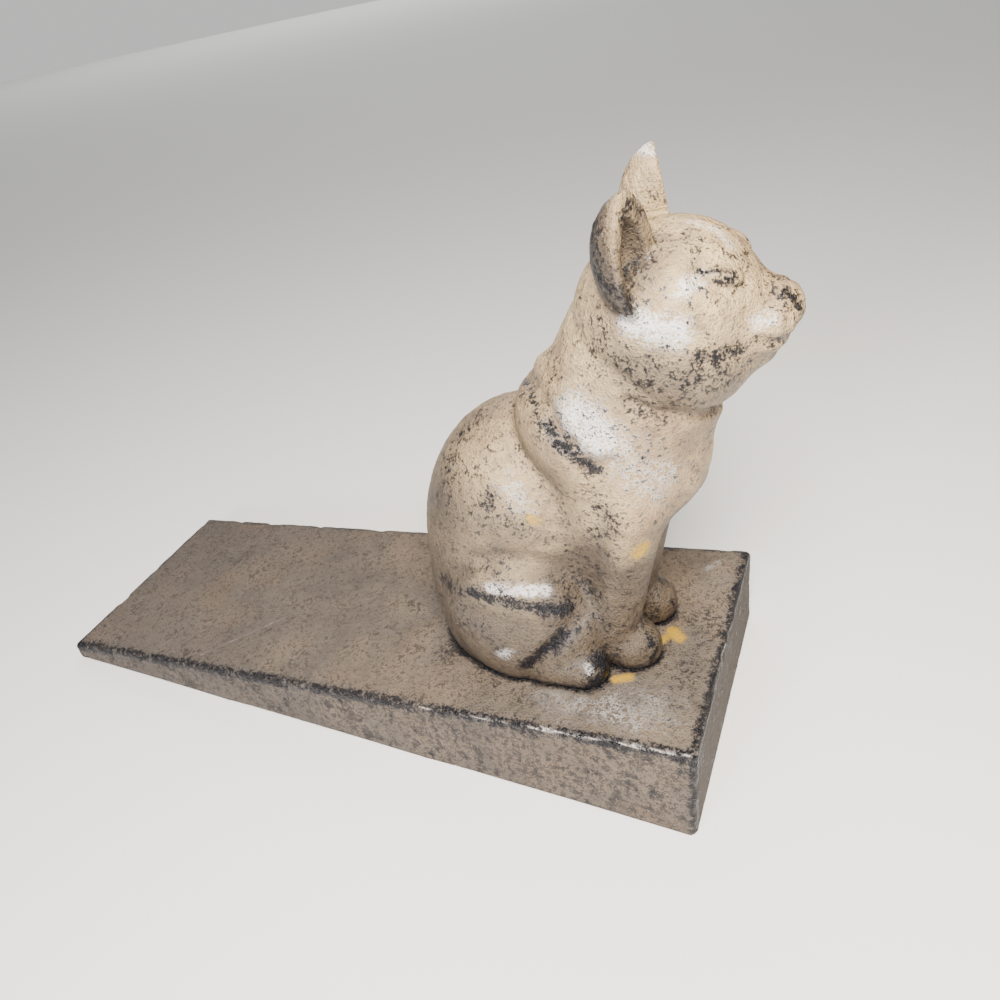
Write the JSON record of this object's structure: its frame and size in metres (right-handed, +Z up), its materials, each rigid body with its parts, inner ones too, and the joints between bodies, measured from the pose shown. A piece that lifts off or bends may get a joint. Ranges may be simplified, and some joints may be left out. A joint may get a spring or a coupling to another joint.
{
  "type": "doorstop",
  "caption": "Cast iron wedge doorstop with a seated cat near its thick end, brown and tan worn paint over dark iron.",
  "frame": {"origin": "centre of the wedge's flat underside, on the floor", "axes": "+X from the thin end towards the thick end, the way the cat faces; +Y to the cat's left; +Z up"},
  "size_m": [0.1804, 0.0612, 0.1136],
  "materials": {
    "cat_iron": "tan paint dry-brushed over black, grainy sand-cast skin, rubbed to dark metal on the high points",
    "wedge_iron": "brown-taupe paint with fine black pits, edges worn to blue-black iron"
  },
  "bodies": {
    "root": {"wedge_base": "wedge_iron", "cat_figure": "cat_iron"}
  },
  "joints": []
}
